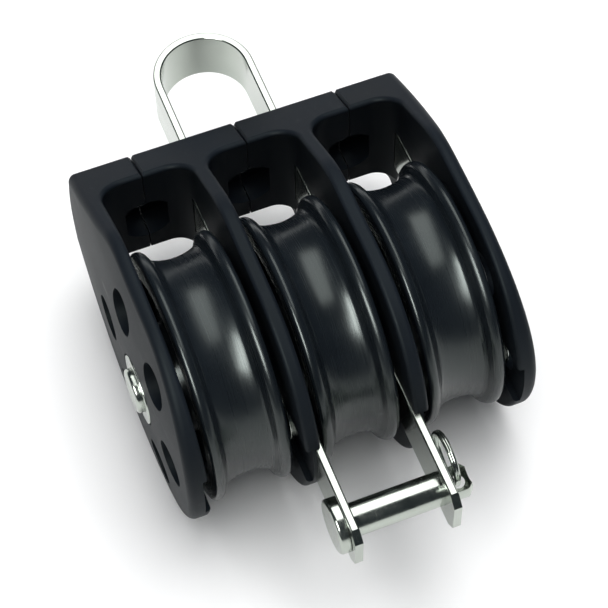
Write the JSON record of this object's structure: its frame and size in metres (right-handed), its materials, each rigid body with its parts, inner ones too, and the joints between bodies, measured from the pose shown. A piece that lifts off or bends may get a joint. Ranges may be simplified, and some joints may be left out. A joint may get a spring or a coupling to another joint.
{
  "type": "triple pulley block",
  "caption": "Triple pulley block for rope, with side-by-side grooved sheaves in moulded cheeks, a fixed steel eye and a becket pin.",
  "frame": {"origin": "middle of the surface that the block lies on, under the centre of its bounding box", "axes": "+X along the axle, +Y along the block towards the eye, +Z out of the block's front face"},
  "size_m": [0.0694, 0.11, 0.0472],
  "materials": {
    "cheek_plastic": "satin moulded, fine grain",
    "sheave_plastic": "turned, semi-gloss",
    "bush_plastic": "plain bearing plastic",
    "stainless_steel": "polished"
  },
  "bodies": {
    "block_frame": {"left_end_cheek": "cheek_plastic", "left_partition": "cheek_plastic", "right_partition": "cheek_plastic", "right_end_cheek": "cheek_plastic", "left_outer_strap": "stainless_steel", "left_inner_strap": "stainless_steel", "right_inner_strap": "stainless_steel", "right_outer_strap": "stainless_steel", "bow_strap": "stainless_steel", "axle": "stainless_steel", "left_axle_washer": "stainless_steel", "right_axle_washer": "stainless_steel", "left_bush": "bush_plastic", "middle_bush": "bush_plastic", "right_bush": "bush_plastic"},
    "left_sheave": {"left_sheave": "sheave_plastic"},
    "middle_sheave": {"middle_sheave": "sheave_plastic"},
    "right_sheave": {"right_sheave": "sheave_plastic"},
    "becket_pin": {"becket_pin": "stainless_steel"},
    "split_ring": {"split_ring": "stainless_steel"}
  },
  "joints": [
    {"name": "left_sheave_spin", "type": "hinge", "parent": "block_frame", "child": "left_sheave", "pos_m": [-0.02, -0.01153, 0.0236], "axis": [1, 0, 0], "continuous": true},
    {"name": "middle_sheave_spin", "type": "hinge", "parent": "block_frame", "child": "middle_sheave", "pos_m": [0, -0.01153, 0.0236], "axis": [1, 0, 0], "continuous": true},
    {"name": "right_sheave_spin", "type": "hinge", "parent": "block_frame", "child": "right_sheave", "pos_m": [0.02, -0.01153, 0.0236], "axis": [1, 0, 0], "continuous": true},
    {"name": "becket_pin_spin", "type": "hinge", "parent": "block_frame", "child": "becket_pin", "pos_m": [0, -0.04883, 0.0236], "axis": [1, 0, 0], "continuous": true},
    {"name": "split_ring_swing", "type": "hinge", "parent": "becket_pin", "child": "split_ring", "pos_m": [0.0117, -0.04883, 0.0236], "axis": [0, 0, -1], "range_deg": [-3, 75]}
  ]
}
